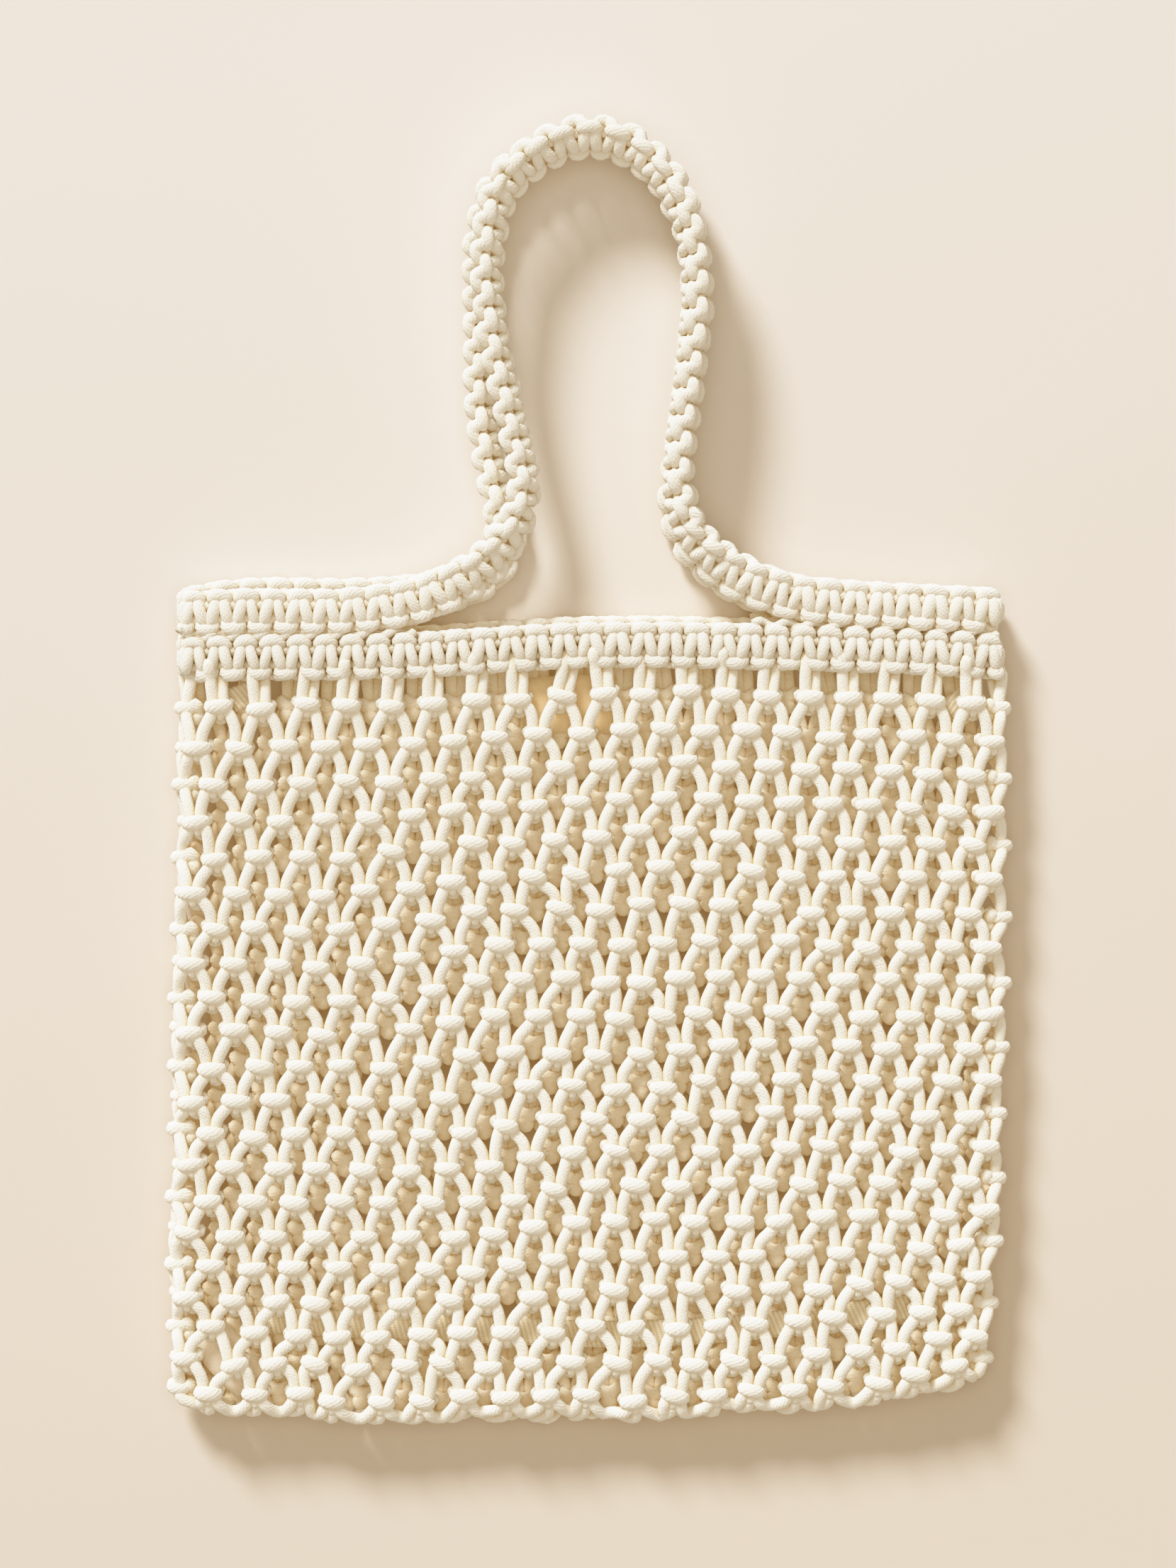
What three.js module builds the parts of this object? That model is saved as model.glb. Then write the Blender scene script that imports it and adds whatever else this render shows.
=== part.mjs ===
// A macrame tote bag of braided cotton cord, lying flat on its back.
// Millimetres, +Z up. The handles point along +Y and the back of the bag rests on Z = 0.
import * as THREE from "three";

// Driving dimensions
const BAND_WIDTH = 20.6; // knotted rim and handle straps, over the bumps of both edges
const BAND_THICKNESS = 9; // two cords and the fillers between them
const BAND_FLAT = 0.62; // share of the band's width that is flat, between its rounded edges
const BUMP_PITCH = 12; // along the band, from one knot of an edge to the next
const BUMP_DEPTH = 1.8; // how far a knot stands out of the band's edge
const NET_WALL = 7; // knotted net, through a knot
const NET_COLUMNS = 7; // coarse meshes across a panel
const NET_ROWS = 8; // half meshes down a panel
const MESH_OPEN = 0.6; // size of a gap against its mesh
const SEAT_GAP = 0.3; // between pieces that touch
const FOLD_REACH = 26; // width of the rounded border where the panels come together
const FRONT_SAG = 1.5; // the front panel sinks a little between its borders
const TAPE_THICKNESS = 1;
const LABEL_THICKNESS = 1;

// The back band lies on the ground and the front band lies over it, apart where the bag is open.
// At the bag's two sides the bands come together.
const BACK_BAND_Z = BAND_THICKNESS / 2;
const FRONT_BAND_Z = 22.4;
const BACK_SIDE_Z = 8.9;
const FRONT_SIDE_Z = BACK_SIDE_Z + BAND_THICKNESS + SEAT_GAP;

// Heights of the panels' middle surfaces, in the open and at the fold.
const BACK_PANEL_Z = NET_WALL / 2;
const FRONT_PANEL_Z = FRONT_BAND_Z;
const FOLD_Z = 13.65;

// The rim follows the mouth from the left side to the right one.
const RIM = [
  { x: -184, y: 51.5 },
  { x: -158, y: 52.3 },
  { x: -88, y: 53.2 },
  { x: 0, y: 58 },
  { x: 90, y: 57 },
  { x: 160, y: 54.5 },
  { x: 186, y: 52.5 },
];
const RIM_FRONT = flatBand(FRONT_BAND_Z, FRONT_SIDE_Z);
const RIM_BACK = flatBand(BACK_BAND_Z, BACK_SIDE_Z);

// A handle is sewn along the rim at both ends, and stands on its edge in the loop between them.
// Twist is in degrees: 0 lies flat, and 90 stands upright with the outer edge on top.
// In the loop the front handle stands above the back one.
const HANDLE_FRONT = [
  { x: -184, y: 72.4, z: FRONT_SIDE_Z, twist: 0 },
  { x: -158, y: 73.2, z: FRONT_BAND_Z, twist: 0 },
  { x: -100, y: 74.2, z: FRONT_BAND_Z, twist: 0 },
  { x: -70, y: 81, z: 23.5, twist: 8 },
  { x: -46.5, y: 94.5, z: 27.5, twist: 38 },
  { x: -33, y: 112.5, z: 31, twist: 64 },
  { x: -29, y: 130.5, z: 31.5, twist: 72 },
  { x: -35, y: 159, z: 31.5, twist: 74 },
  { x: -44, y: 204, z: 31.5, twist: 74 },
  { x: -45.3, y: 236, z: 32, twist: 70 },
  { x: -38, y: 264.5, z: 33, twist: 58 },
  { x: -18, y: 281.5, z: 33.5, twist: 49 },
  { x: 0.5, y: 286.9, z: 33.5, twist: 46 },
  { x: 19, y: 282, z: 33.5, twist: 51 },
  { x: 35, y: 267, z: 33, twist: 62 },
  { x: 45.3, y: 242, z: 32, twist: 78 },
  { x: 47.7, y: 214, z: 31.5, twist: 84 },
  { x: 43.8, y: 174, z: 31.5, twist: 86 },
  { x: 39.8, y: 139.5, z: 31.5, twist: 84 },
  { x: 41.3, y: 117.5, z: 31, twist: 70 },
  { x: 51, y: 101.5, z: 28, twist: 46 },
  { x: 68, y: 88.7, z: 25, twist: 20 },
  { x: 92, y: 80, z: 22.6, twist: 4 },
  { x: 119, y: 77, z: FRONT_BAND_Z, twist: 0 },
  { x: 160, y: 75.5, z: FRONT_BAND_Z, twist: 0 },
  { x: 186, y: 73.5, z: FRONT_SIDE_Z, twist: 0 },
];
const HANDLE_BACK = [
  { x: -184, y: 72.4, z: BACK_SIDE_Z, twist: 0 },
  { x: -158, y: 73.2, z: BACK_BAND_Z, twist: 0 },
  { x: -100, y: 74.2, z: BACK_BAND_Z, twist: 0 },
  { x: -70, y: 79.5, z: 5.1, twist: 4 },
  { x: -46, y: 91.5, z: 6.8, twist: 18 },
  { x: -35, y: 108.5, z: 9, twist: 46 },
  { x: -37, y: 128, z: 10.3, twist: 68 },
  { x: -46, y: 162, z: 10.5, twist: 72 },
  { x: -54, y: 205, z: 10.5, twist: 72 },
  { x: -54.5, y: 240, z: 10.5, twist: 68 },
  { x: -44, y: 267, z: 10.3, twist: 64 },
  { x: -21, y: 282, z: 10.3, twist: 62 },
  { x: 0, y: 286, z: 10.3, twist: 60 },
  { x: 20, y: 282, z: 10.3, twist: 62 },
  { x: 38, y: 266.5, z: 10.3, twist: 66 },
  { x: 50.5, y: 240, z: 10.5, twist: 74 },
  { x: 53.5, y: 213, z: 10.5, twist: 76 },
  { x: 47, y: 172, z: 10.5, twist: 78 },
  { x: 40.5, y: 138, z: 10.3, twist: 72 },
  { x: 42, y: 116.5, z: 9, twist: 46 },
  { x: 54, y: 98.5, z: 6.8, twist: 18 },
  { x: 75, y: 84.5, z: 5.1, twist: 4 },
  { x: 108, y: 78.5, z: BACK_BAND_Z, twist: 0 },
  { x: 160, y: 75.5, z: BACK_BAND_Z, twist: 0 },
  { x: 186, y: 73.5, z: BACK_SIDE_Z, twist: 0 },
];

// Sides of the net, from the rim down to the bottom.
const NET_SIDES = [
  { down: 0, left: -186, right: 189.2 },
  { down: 0.5, left: -189, right: 188.6 },
  { down: 1, left: -189.5, right: 182 },
];

// Bottom of the net, from the left side across to the right one.
const NET_BOTTOM = [
  { across: 0, y: -287.5 },
  { across: 0.5, y: -294.3 },
  { across: 1, y: -279.5 },
];

// A woven tape covers the seam inside the bag, a little above the bottom.
const SEAM_TAPE_WIDTH = 12;
const SEAM_TAPE = [
  { x: -158, y: -247 },
  { x: -70, y: -251 },
  { x: 20, y: -254 },
  { x: 80, y: -250 },
  { x: 158, y: -240 },
];

// Two plain labels lie against the inside of the back panel.
// The one in the corner bridges the rounded border, so it lies higher.
const TOP_LABEL = { width: 26, lift: 0, from: { x: -28, y: 25 }, to: { x: 13, y: 29 } };
const SIDE_LABEL = { width: 20, lift: 2.5, from: { x: -172, y: -254 }, to: { x: -152, y: -276 } };

// Value of a table's column at a share of the way down the table, eased between its rows.
function column(table, name, share) {
  const place = share * (table.length - 1);
  const row = Math.min(Math.floor(place), table.length - 2);
  const eased = THREE.MathUtils.smoothstep(place - row, 0, 1);
  return THREE.MathUtils.lerp(table[row][name], table[row + 1][name], eased);
}

// Value at a share of the way along a table of three evenly spaced rows, on a smooth arc.
function arc(table, name, share) {
  const [start, middle, end] = table.map((row) => row[name]);
  const bow = 4 * share * (1 - share) * (middle - (start + end) / 2);
  return THREE.MathUtils.lerp(start, end, share) + bow;
}

function curveThrough(table) {
  return new THREE.CatmullRomCurve3(table.map((row) => new THREE.Vector3(row.x, row.y, 0)), false, "centripetal");
}

// A band that lies flat along the rim, with one height in the open and one at the bag's sides.
function flatBand(openZ, sideZ) {
  return RIM.map((row, i) => ({ ...row, twist: 0, z: i === 0 || i === RIM.length - 1 ? sideZ : openZ }));
}

// Points along the middle of a band, each with its width direction and its face direction.
function bandStations(table, step) {
  const curve = curveThrough(table);
  const count = Math.round(curve.getLength() / step);
  const stations = [];
  for (let i = 0; i <= count; i++) {
    const share = curve.getUtoTmapping(i / count);
    const along = curve.getTangent(share).setZ(0).normalize();
    const outward = new THREE.Vector3(-along.y, along.x, 0);
    const twist = THREE.MathUtils.degToRad(column(table, "twist", share));
    stations.push({
      middle: curve.getPoint(share).setZ(column(table, "z", share)),
      across: outward.clone().multiplyScalar(Math.cos(twist)).setZ(Math.sin(twist)),
      facing: outward.clone().multiplyScalar(-Math.sin(twist)).setZ(Math.cos(twist)),
    });
  }
  return stations;
}

// A solid swept through stations, with a ring of [across, facing] points at each.
function sweep(stations, ringAt) {
  const points = [];
  const triangles = [];
  stations.forEach(({ middle, across, facing }, i) => {
    for (const [a, f] of ringAt(i)) {
      points.push(middle.clone().addScaledVector(across, a).addScaledVector(facing, f));
    }
  });
  const sides = points.length / stations.length;
  for (let i = 0; i < stations.length - 1; i++) {
    for (let k = 0; k < sides; k++) {
      const a = i * sides + k;
      const b = i * sides + ((k + 1) % sides);
      triangles.push(a, b, a + sides, b, b + sides, a + sides);
    }
  }
  const last = points.length - sides;
  for (let k = 1; k < sides - 1; k++) {
    triangles.push(0, k + 1, k);
    triangles.push(last, last + k, last + k + 1);
  }
  const geometry = new THREE.BufferGeometry().setFromPoints(points);
  geometry.setIndex(triangles);
  geometry.computeVertexNormals();
  return geometry;
}

// A knotted band: its two edges bump out by turns, once in each pitch.
// The rim starts with a bump on its outer edge and a handle with one on its inner edge, so they meet.
function bandGeometry(table, startsInside) {
  const flat = (BAND_WIDTH / 2) * BAND_FLAT;
  const thick = BAND_THICKNESS / 2;
  return sweep(bandStations(table, BUMP_PITCH / 2), (i) => {
    const onInside = (i % 2 === 0) === startsInside;
    const outer = BAND_WIDTH / 2 - (onInside ? BUMP_DEPTH : 0);
    const inner = BAND_WIDTH / 2 - (onInside ? 0 : BUMP_DEPTH);
    return [
      [outer, 0],
      [flat, thick],
      [-flat, thick],
      [-inner, 0],
      [-flat, -thick],
      [flat, -thick],
    ];
  });
}

// A flat woven strip that lies on the inside of the back panel.
function stripGeometry(table, width, thickness, step, lift) {
  const curve = curveThrough(table);
  const count = Math.max(2, Math.round(curve.getLength() / step));
  const stations = [];
  for (let i = 0; i <= count; i++) {
    const along = curve.getTangentAt(i / count);
    stations.push({
      middle: curve.getPointAt(i / count).setZ(NET_WALL + SEAT_GAP + thickness / 2 + lift),
      across: new THREE.Vector3(-along.y, along.x, 0),
      facing: new THREE.Vector3(0, 0, 1),
    });
  }
  return sweep(stations, () => [
    [width / 2, -thickness / 2],
    [width / 2, thickness / 2],
    [-width / 2, thickness / 2],
    [-width / 2, -thickness / 2],
  ]);
}

// Place in the bag's plane of a lattice point: u counts meshes across and v half meshes down.
const rimCurve = curveThrough(RIM);
function netPlace(u, v) {
  const across = u / NET_COLUMNS;
  const down = v / NET_ROWS;
  const x = THREE.MathUtils.lerp(arc(NET_SIDES, "left", down), arc(NET_SIDES, "right", down), across);
  const top = rimCurve.getPoint(across).y - BAND_WIDTH / 2 - SEAT_GAP;
  return new THREE.Vector2(x, THREE.MathUtils.lerp(top, arc(NET_BOTTOM, "y", across), down));
}

// How far a lattice point is out of the fold, from 0 on it to 1 clear of it.
function outOfFold(u, v) {
  const { x, y } = netPlace(u, v);
  const left = x - netPlace(0, v).x;
  const right = netPlace(NET_COLUMNS, v).x - x;
  const below = y - netPlace(u, NET_ROWS).y;
  return Math.sin((Math.PI / 2) * Math.min(1, Math.min(left, right, below) / FOLD_REACH));
}

function frontPanelZ(u, v) {
  const fold = FOLD_Z + NET_WALL / 2 + SEAT_GAP / 2;
  const sag = FRONT_SAG * Math.sin((Math.PI * u) / NET_COLUMNS) * Math.sin((Math.PI * v) / NET_ROWS);
  return THREE.MathUtils.lerp(fold, FRONT_PANEL_Z, outOfFold(u, v)) - sag;
}

function backPanelZ(u, v) {
  const fold = FOLD_Z - NET_WALL / 2 - SEAT_GAP / 2;
  return THREE.MathUtils.lerp(fold, BACK_PANEL_Z, outOfFold(u, v));
}

function onFold([u, v]) {
  return u === 0 || u === NET_COLUMNS || v === NET_ROWS;
}

function between(a, b) {
  return [(a[0] + b[0]) / 2, (a[1] + b[1]) / 2];
}

// One side of a gap's frame. A side that runs into the fold has two faces, to round the border.
function frameSide(start, end, gapStart, gapEnd) {
  if (onFold(start) === onFold(end)) return [[start, end, gapEnd, gapStart]];
  const middle = between(start, end);
  const gapMiddle = between(gapStart, gapEnd);
  return [
    [start, middle, gapMiddle, gapStart],
    [middle, end, gapEnd, gapMiddle],
  ];
}

// The cord that frames one gap: a ring of faces between the mesh's corners and the gap's.
function meshFrame(corners) {
  const n = corners.length;
  const cu = corners.reduce((sum, c) => sum + c[0], 0) / n;
  const cv = corners.reduce((sum, c) => sum + c[1], 0) / n;
  const gap = corners.map(([u, v]) => [cu + MESH_OPEN * (u - cu), cv + MESH_OPEN * (v - cv)]);
  return corners.flatMap((start, i) => frameSide(start, corners[(i + 1) % n], gap[i], gap[(i + 1) % n]));
}

// Under the rim the net hangs on its top cords, so those meshes stay open at the top.
function hangingFrame(u) {
  const reach = (1 - MESH_OPEN) / 2;
  const low = [u, 1];
  const gapLow = [u, MESH_OPEN];
  return [
    ...frameSide([u - 0.5, 0], low, [u - 0.5 + reach, 0], gapLow),
    ...frameSide(low, [u + 0.5, 0], gapLow, [u + 0.5 - reach, 0]),
  ];
}

// All faces of a panel in lattice points: whole meshes, and half ones along its borders.
function netFaces() {
  const faces = [];
  for (let v = 1; v < NET_ROWS; v++) {
    const first = v % 2 ? 1 : 0.5;
    for (let u = first; u < NET_COLUMNS; u++) {
      faces.push(...meshFrame([[u, v - 1], [u - 0.5, v], [u, v + 1], [u + 0.5, v]]));
    }
    if (v % 2) {
      faces.push(...meshFrame([[0, v - 1], [0, v + 1], [0.5, v]]));
      faces.push(...meshFrame([[NET_COLUMNS, v - 1], [NET_COLUMNS - 0.5, v], [NET_COLUMNS, v + 1]]));
    }
  }
  for (let u = 0.5; u < NET_COLUMNS; u++) {
    faces.push(...hangingFrame(u));
    faces.push(...meshFrame([[u, NET_ROWS - 1], [u - 0.5, NET_ROWS], [u + 0.5, NET_ROWS]]));
  }
  return faces;
}

// A panel of net as one solid: its faces above and below, and a wall on every free edge.
function netGeometry(middleZ) {
  const numbers = new Map();
  const lattice = [];
  const number = ([u, v]) => {
    const key = u.toFixed(4) + " " + v.toFixed(4);
    if (!numbers.has(key)) {
      numbers.set(key, lattice.length);
      lattice.push([u, v]);
    }
    return numbers.get(key);
  };
  const faces = netFaces().map((face) => face.map(number));
  const edges = new Set(faces.flatMap((f) => f.map((a, i) => a + ">" + f[(i + 1) % f.length])));
  const points = [-1, 1].flatMap((side) =>
    lattice.map(([u, v]) => {
      const { x, y } = netPlace(u, v);
      return new THREE.Vector3(x, y, middleZ(u, v) + (side * NET_WALL) / 2);
    }),
  );
  const upper = lattice.length;
  const triangles = [];
  for (const [a, b, c, d] of faces) {
    triangles.push(a, c, b, a, d, c);
    triangles.push(a + upper, b + upper, c + upper, a + upper, c + upper, d + upper);
  }
  for (const edge of edges) {
    const [a, b] = edge.split(">").map(Number);
    if (!edges.has(b + ">" + a)) triangles.push(a, b, b + upper, a, b + upper, a + upper);
  }
  const geometry = new THREE.BufferGeometry().setFromPoints(points);
  geometry.setIndex(triangles);
  geometry.computeVertexNormals();
  return geometry;
}

const cotton = new THREE.MeshStandardMaterial({ color: 0xf3eee2, roughness: 0.95, metalness: 0 });
const tapeCloth = new THREE.MeshStandardMaterial({ color: 0xe4d5b8, roughness: 0.9, metalness: 0 });
const labelCloth = new THREE.MeshStandardMaterial({ color: 0xe0c39c, roughness: 0.6, metalness: 0 });
const satin = new THREE.MeshStandardMaterial({ color: 0xf2dccb, roughness: 0.5, metalness: 0 });

function piece(name, geometry, material) {
  const mesh = new THREE.Mesh(geometry, material);
  mesh.name = name;
  return mesh;
}

function label(name, { width, lift, from, to }, material) {
  return piece(name, stripGeometry([from, to], width, LABEL_THICKNESS, width, lift), material);
}

const bag = new THREE.Group();
bag.name = "macrame_tote";
bag.add(
  piece("net_front", netGeometry(frontPanelZ), cotton),
  piece("net_back", netGeometry(backPanelZ), cotton),
  piece("rim_front", bandGeometry(RIM_FRONT, false), cotton),
  piece("rim_back", bandGeometry(RIM_BACK, false), cotton),
  piece("handle_front", bandGeometry(HANDLE_FRONT, true), cotton),
  piece("handle_back", bandGeometry(HANDLE_BACK, true), cotton),
  piece("seam_tape", stripGeometry(SEAM_TAPE, SEAM_TAPE_WIDTH, TAPE_THICKNESS, 20, 0), tapeCloth),
  label("top_label", TOP_LABEL, labelCloth),
  label("side_label", SIDE_LABEL, satin),
);

export default bag;
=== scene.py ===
"""Dresses the macrame tote: knotted cord net, rim bands, handles, seam tape, labels and a studio floor."""

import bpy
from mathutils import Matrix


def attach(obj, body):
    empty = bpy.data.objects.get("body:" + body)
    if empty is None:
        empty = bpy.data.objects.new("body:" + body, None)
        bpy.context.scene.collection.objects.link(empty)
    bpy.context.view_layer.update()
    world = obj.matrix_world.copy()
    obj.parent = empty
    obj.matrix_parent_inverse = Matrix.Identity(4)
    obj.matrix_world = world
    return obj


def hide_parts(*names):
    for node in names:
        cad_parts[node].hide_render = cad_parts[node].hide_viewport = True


bl_info = {
    "name": "Macrame Tote",
    "version": (1, 0, 0),
    "blender": (4, 5, 0),
    "location": "3D View > Sidebar > Tote",
    "description": "Knots a cotton cord tote bag over its packed frame",
    "category": "Add Mesh",
}

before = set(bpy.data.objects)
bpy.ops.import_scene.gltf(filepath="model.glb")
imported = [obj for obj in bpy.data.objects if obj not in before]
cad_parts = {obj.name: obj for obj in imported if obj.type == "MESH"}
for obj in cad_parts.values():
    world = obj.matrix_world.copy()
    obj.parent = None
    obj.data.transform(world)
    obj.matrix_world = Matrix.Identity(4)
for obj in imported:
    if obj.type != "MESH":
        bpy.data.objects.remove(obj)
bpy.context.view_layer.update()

import math
from collections import namedtuple
from types import SimpleNamespace

import bmesh
import bpy
import numpy as np
from bpy.props import FloatProperty, FloatVectorProperty, IntProperty, PointerProperty
from mathutils import Vector

MM = 0.001

# Digits kept of a stored length in millimetres, and the directions that the tables are laid by.
LENGTH_DIGITS = 4
UP = np.array([0.0, 0.0, 1.0])
RIGHT = np.array([1.0, 0.0, 0.0])
UP_THE_BAG = np.array([0.0, 1.0, 0.0])

# Seeds of the small differences between knots.
SEEDS = {"net": 11, "rim_front": 21, "rim_back": 22, "handle_front": 31, "handle_back": 32}

# Where the bands run: x, y and height in millimetres, and twist in degrees, where 90 is on its edge.
RIM = ((-184, 51.5), (-158, 52.3), (-88, 53.2), (0, 58), (90, 57), (160, 54.5), (186, 52.5))
HANDLE_FRONT = (
    (-184, 72.4, 18.2, 0),
    (-158, 73.2, 22.4, 0),
    (-100, 74.2, 22.4, 0),
    (-70, 81, 23.5, 8),
    (-46.5, 94.5, 27.5, 38),
    (-33, 112.5, 31, 64),
    (-29, 130.5, 31.5, 72),
    (-35, 159, 31.5, 74),
    (-44, 204, 31.5, 74),
    (-45.3, 236, 32, 70),
    (-38, 264.5, 31, 58),
    (-18, 281.5, 28.5, 49),
    (0.5, 286.9, 28, 46),
    (19, 282, 28.5, 51),
    (35, 267, 31, 62),
    (45.3, 242, 32, 78),
    (47.7, 214, 31.5, 84),
    (43.8, 174, 31.5, 86),
    (39.8, 139.5, 31.5, 84),
    (41.3, 117.5, 31, 70),
    (51, 101.5, 28, 46),
    (68, 88.7, 25, 20),
    (92, 80, 22.6, 4),
    (119, 77, 22.4, 0),
    (160, 74.8, 22.4, 0),
    (186, 73.5, 18.2, 0),
)
HANDLE_BACK = (
    (-182, 74.5, 8.9, 0),
    (-158, 78.5, 4.6, 0),
    (-100, 79, 4.6, 0),
    (-70, 82.5, 5.1, 4),
    (-46, 92.5, 6.8, 18),
    (-37.5, 110, 9, 46),
    (-42, 129, 10.3, 68),
    (-48.5, 162, 10.5, 72),
    (-49.5, 205, 10.5, 72),
    (-49, 240, 10.5, 68),
    (-41.5, 266.5, 10.3, 66),
    (-21, 283.5, 11.3, 70),
    (0, 288, 11.3, 70),
    (20, 283.5, 11.3, 70),
    (38, 266.5, 10.3, 66),
    (47.5, 241, 10.5, 76),
    (50, 213, 10.5, 78),
    (45.5, 172, 10.5, 80),
    (40.5, 138, 10.3, 72),
    (42, 116.5, 9, 46),
    (54, 98.5, 6.8, 18),
    (75, 84.5, 5.1, 4),
    (108, 78.5, 4.6, 0),
    (160, 75.5, 4.6, 0),
    (186, 73.5, 8.9, 0),
)

# Where the straps are lashed to the rim, from left to right.
LASHED = ((-182, -78), (74, 184))

# Sides of the net at the rim, half way and at the bottom, and its bottom from left to right.
NET_LEFT = (-186, -189, -189.5)
NET_RIGHT = (189.2, 188.6, 182)
NET_BOTTOM = (-287.5, -294.3, -279.5)

# How the net hangs, in shares of its width and depth, with the lengths of its slow waves in millimetres.
SIDE_EASE = 0.35
DROOP_EASE = 0.7
LEFT_SLIP_SPAN = (0.05, 0.6)
RIGHT_SLIP_SPAN = (0.6, 1)
WAVES_ACROSS = ((31, 23), (-47, 17))
WAVES_DOWN = ((37, -29), (19, 41))

# The knots stray and tilt more towards the bottom, and less out of the net than along it.
PULL = 0.9
PULL_START = 0.78
STRAY_OUT = 0.6

# Tubes of cord: the sides of one that shows well and of a half hidden one, and how far its ends bulge.
SIDES = 8
FEW_SIDES = 7
END_BULGE = 0.45

# A run that starts steeper than this has its rings laid out from the right, and else from above.
STEEP = 0.9

# Points on a curve between two points of its table, for short runs of cord and for the bands.
RUN_STEPS = 12
BAND_STEPS = 40

# One knot as runs of cord, in cord diameters across, up and out, and girths as shares of the cord's.
KNOT_BAR = (
    (-0.5, 0.0, -0.7),
    (-0.64, 0.02, -0.25),
    (-0.62, 0.03, 0.25),
    (-0.38, 0.02, 0.5),
    (0.0, 0.0, 0.54),
    (0.38, -0.02, 0.5),
    (0.62, -0.03, 0.25),
    (0.64, -0.02, -0.25),
    (0.5, 0.0, -0.7),
)
KNOT_TAB = (
    (0.04, -0.2, 0.16),
    (0.05, -0.55, 0.2),
    (0.05, -0.82, 0.14),
    (0.04, -0.98, 0.0),
)
KNOT_SMILE = (
    (-0.9, 0.46, -0.55),
    (-0.72, 0.2, -0.8),
    (-0.32, -0.04, -0.95),
    (0.32, -0.04, -0.95),
    (0.72, 0.2, -0.8),
    (0.9, 0.46, -0.55),
)
KNOT_KNOB = (
    (0.08, -0.3, -0.6),
    (0.06, -0.62, -0.8),
    (0.04, -0.92, -0.8),
    (0.02, -1.18, -0.6),
)
BAR_GIRTH = np.array([0.95, 1.12, 1.18, 1.2, 1.2, 1.2, 1.18, 1.12, 0.95])
TAB_GIRTH = np.array([0.7, 0.72, 0.72, 0.64])
SMILE_GIRTH = np.array([0.95, 1.1, 1.15, 1.15, 1.1, 0.95])
KNOB_GIRTH = np.array([1.1, 1.42, 1.52, 1.42, 1.05])
BAR_LENGTH_VARY = 0.06
BAR_GIRTH_VARY = 0.04

# The two legs of a knot, in cord diameters: two points by their own knot, then two by the one below.
LEFT_LEG = ((-0.38, -0.1, 0.05), (-0.78, -1.05, 0.3), (0.48, 1.5, 0.2), (0.42, 0.1, -0.05))
RIGHT_LEG = ((0.42, -0.1, -0.05), (0.95, -0.95, 0.14), (-0.36, 1.75, 0.16), (-0.42, 0.1, -0.05))
LEG_GIRTHS = (1.0, 0.98)
LEG_RINGS = 8
LEG_SWAY = 0.06

# The loops between the last knots, and the cords that run on round the bottom fold.
LOOP_START = ((0.38, -0.2, -0.05), (0.72, -0.85, 0.05))
LOOP_END = ((-0.72, -0.85, 0.05), (-0.38, -0.2, -0.05))
LOOP_DEPTH = 1.62
LOOP_DEPTH_VARY = 0.16
LOOP_TUCK = 0.45
LOOP_HALF_WIDTH = 0.35
LOOP_RISE = 0.2
LOOP_RINGS = 11
FOLD_START = ((0.05, -0.6, -0.1), (0.05, -1.4, -0.5))
FOLD_END = ((-0.05, -1.4, -0.5), (-0.05, -0.6, -0.1))
FOLD_DEPTH = 1.75
FOLD_RINGS = 10

# The hangers under the rim: across, share of the way up to the rim, more up, and out, in cord diameters.
HANGER_FRONT = ((-0.4, 0, 0.1, -0.05), (-0.4, 0, 0.9, 0.05), (-0.38, 0.6, 0, 0.2), (-0.34, 1, -0.2, 0.3))
HANGER_OVER = ((-0.3, 1, 0.35, 0.85), (-0.25, 1, 0.75, 0.45))
HANGER_UNDER = ((-0.3, 1, 0.3, 0.1), (-0.25, 1, 0.7, -0.1))
HANGER_BEHIND = (
    (0.4, 0, 0.1, -0.05),
    (0.44, 0, 0.9, -0.1),
    (0.5, 0.6, 0, -0.3),
    (0.52, 1, 0.1, -0.45),
    (0.52, 1, 0.6, -0.45),
)
HANGER_SHORT = 1.2
HANGER_RINGS = 9
BEHIND_RINGS = 8
BEHIND_GIRTH = 0.98
OVER_EVERY = 3

# One repeat of a band in cord diameters: along, across towards the outer edge, and out of its face.
BAND_BUMP = (
    (-0.8, -0.52, 0.24),
    (-0.73, -0.17, 0.4),
    (-0.48, 0.06, 0.52),
    (-0.16, 0.13, 0.54),
    (0.18, 0.13, 0.5),
    (0.48, 0.06, 0.42),
    (0.73, -0.17, 0.3),
    (0.8, -0.52, 0.16),
)
BAND_FOOT = (
    (0.34, 1.15, 0.1),
    (0.38, 0.85, 0.46),
    (0.45, 0.45, 0.68),
    (0.57, 0.0, 0.74),
    (0.7, -0.45, 0.66),
    (0.8, -0.85, 0.42),
    (0.84, -1.15, 0.05),
)
BAND_LINK = (
    (-0.06, 0.12, 0.55),
    (-0.36, 0.17, 0.36),
    (-0.6, 0.19, 0.0),
    (-0.84, 0.17, -0.36),
    (-1.14, 0.12, -0.55),
)
BUMP_GIRTH = np.array([0.7, 0.96, 1.1, 1.14, 1.14, 1.1, 0.96, 0.7])
FOOT_GIRTH = np.array([0.78, 1.0, 1.08, 1.1, 1.1, 1.08, 1.0, 0.78])
LINK_GIRTH = np.array([1.0, 1.08, 1.12, 1.12, 1.12, 1.08, 1.0])
BAND_VARY = 0.05
BUMP_LEAN = 0.09
FOOT_LEAN = 0.05

# A band's faces and edges, with how late their knots come in repeats, and where the bumps sit across.
FACES = ((1, 0.0), (-1, 0.5))
EDGES = ((1, 0.0), (-1, 0.5))
EDGE = 1.4

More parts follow.
